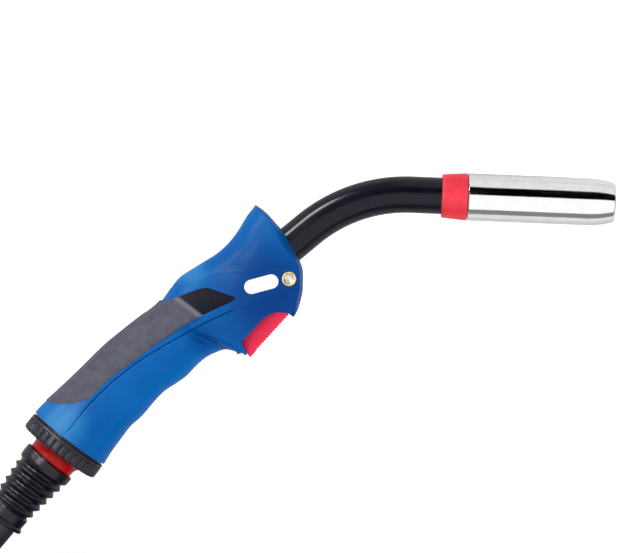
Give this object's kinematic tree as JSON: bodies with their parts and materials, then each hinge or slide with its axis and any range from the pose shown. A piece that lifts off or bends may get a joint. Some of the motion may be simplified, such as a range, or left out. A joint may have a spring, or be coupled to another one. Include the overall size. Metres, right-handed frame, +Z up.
{
  "type": "welding torch with hose and machine plug",
  "caption": "Swan-neck gas-shielded welding torch with trigger handle, ball-jointed hose end, coiled hose and round machine plug.",
  "frame": {"origin": "under the middle of the torch as it lies on its side, on the surface that it lies on", "axes": "+X along the torch towards its nozzle, +Y towards the back of the handle, +Z up, across the handle"},
  "size_m": [0.3972, 0.4505, 0.0497],
  "materials": {
    "gas_nozzle": "polished",
    "nozzle_insulator": "satin",
    "nozzle_spring_clip": "bright",
    "contact_tip": "bare copper alloy",
    "tip_holder": "bright",
    "gas_diffuser": "unglazed",
    "neck_inner_tube": "bare copper alloy",
    "neck_jacket": "satin black coating",
    "wire_liner": "bright",
    "neck_coupling": "bright",
    "handle_shell_left": "fine satin moulding",
    "handle_shell_right": "fine satin moulding",
    "grip_pad_left": "soft-touch, matt",
    "grip_pad_right": "soft-touch, matt",
    "shell_screw": "bright",
    "screw_bushing": "bright",
    "shell_nut": "bright",
    "blank_badge": "satin white",
    "trigger": "satin",
    "trigger_pin": "bright",
    "trigger_spring": "bright",
    "microswitch_body": "fine matt",
    "switch_plunger": "satin",
    "control_lead_a": "smooth, slightly dull",
    "control_lead_b": "smooth, slightly dull",
    "lead_connector": "satin white",
    "ball_seat": "fine matt",
    "collar_nut": "fine matt",
    "swivel_ball": "satin",
    "bend_sleeve": "fine matt",
    "hose_ferrule": "bright",
    "hose_lead": "smooth, slightly dull",
    "hose_run": "smooth, slightly dull",
    "hose_coil": "smooth, slightly dull",
    "hose_tail": "smooth, slightly dull",
    "coil_strap_a": "woven hook-and-loop",
    "coil_strap_b": "woven hook-and-loop",
    "plug_sleeve": "fine matt",
    "plug_housing_left": "fine matt",
    "plug_housing_right": "fine matt",
    "plug_screw": "bright",
    "coupling_nut": "fine matt",
    "plug_body": "bright",
    "power_pin": "bright",
    "gas_seal_ring": "smooth, slightly dull",
    "liner_nut": "bright",
    "signal_pin_1": "bright",
    "signal_pin_2": "bright",
    "pin_spring_1": "bright",
    "pin_spring_2": "bright"
  },
  "bodies": {
    "handle": {"nozzle_insulator": "nozzle_insulator", "nozzle_spring_clip": "nozzle_spring_clip", "contact_tip": "contact_tip", "tip_holder": "tip_holder", "gas_diffuser": "gas_diffuser", "neck_inner_tube": "neck_inner_tube", "neck_jacket": "neck_jacket", "wire_liner": "wire_liner", "neck_coupling": "neck_coupling", "handle_shell_left": "handle_shell_left", "handle_shell_right": "handle_shell_right", "grip_pad_left": "grip_pad_left", "grip_pad_right": "grip_pad_right", "shell_screw": "shell_screw", "screw_bushing": "screw_bushing", "shell_nut": "shell_nut", "blank_badge": "blank_badge", "trigger_pin": "trigger_pin", "trigger_spring": "trigger_spring", "microswitch_body": "microswitch_body", "control_lead_a": "control_lead_a", "control_lead_b": "control_lead_b", "lead_connector": "lead_connector", "ball_seat": "ball_seat", "collar_nut": "collar_nut", "hose_ferrule": "hose_ferrule", "hose_lead": "hose_lead", "hose_run": "hose_run", "hose_coil": "hose_coil", "hose_tail": "hose_tail", "coil_strap_a": "coil_strap_a", "coil_strap_b": "coil_strap_b", "plug_sleeve": "plug_sleeve", "plug_housing_left": "plug_housing_left", "plug_housing_right": "plug_housing_right", "plug_screw": "plug_screw", "plug_body": "plug_body", "power_pin": "power_pin", "gas_seal_ring": "gas_seal_ring", "liner_nut": "liner_nut", "pin_spring_1": "pin_spring_1", "pin_spring_2": "pin_spring_2"},
    "trigger": {"trigger": "trigger"},
    "switch_plunger": {"switch_plunger": "switch_plunger"},
    "swivel_ball": {"swivel_ball": "swivel_ball"},
    "bend_sleeve": {"bend_sleeve": "bend_sleeve"},
    "nozzle": {"gas_nozzle": "gas_nozzle"},
    "coupling_nut": {"coupling_nut": "coupling_nut"},
    "signal_pin_1": {"signal_pin_1": "signal_pin_1"},
    "signal_pin_2": {"signal_pin_2": "signal_pin_2"}
  },
  "joints": [
    {"name": "trigger_pull", "type": "hinge", "parent": "handle", "child": "trigger", "pos_m": [-0.00793, 0.02472, 0.02335], "axis": [0, 0, -1], "range_deg": [0, 6], "stiffness_Nm_per_rad": 1, "springref_deg": -4.58, "deforming": ["trigger_spring"]},
    {"name": "plunger_press", "type": "slide", "parent": "handle", "child": "switch_plunger", "axis": [-0.7131, 0.701, 0], "range_m": [0, 0.0015]},
    {"name": "ball_tilt", "type": "hinge", "parent": "handle", "child": "swivel_ball", "pos_m": [-0.12494, -0.04668, 0.02335], "axis": [0, 0, 1], "range_deg": [-18, 18], "deforming": ["hose_lead", "hose_run"]},
    {"name": "sleeve_turn", "type": "hinge", "parent": "swivel_ball", "child": "bend_sleeve", "pos_m": [-0.12494, -0.04668, 0.02335], "axis": [0.6468, 0.7627, 0], "continuous": true},
    {"name": "nozzle_pull", "type": "slide", "parent": "handle", "child": "nozzle", "axis": [0.9992, -0.0401, 0], "range_m": [0, 0.08]},
    {"name": "coupling_turn", "type": "hinge", "parent": "handle", "child": "coupling_nut", "pos_m": [0.05287, -0.1377, 0.025], "axis": [0, 1, 0], "continuous": true},
    {"name": "signal_pin_1_press", "type": "slide", "parent": "handle", "child": "signal_pin_1", "axis": [0, -1, 0], "range_m": [0, 0.003], "stiffness_N_per_m": 300, "springref_m": -0.002, "deforming": ["pin_spring_1"]},
    {"name": "signal_pin_2_press", "type": "slide", "parent": "handle", "child": "signal_pin_2", "axis": [0, -1, 0], "range_m": [0, 0.003], "stiffness_N_per_m": 300, "springref_m": -0.002, "deforming": ["pin_spring_2"]}
  ],
  "couplings": [
    {"joint": "plunger_press", "follows": "trigger_pull", "m_per_rad": 0.013864}
  ]
}
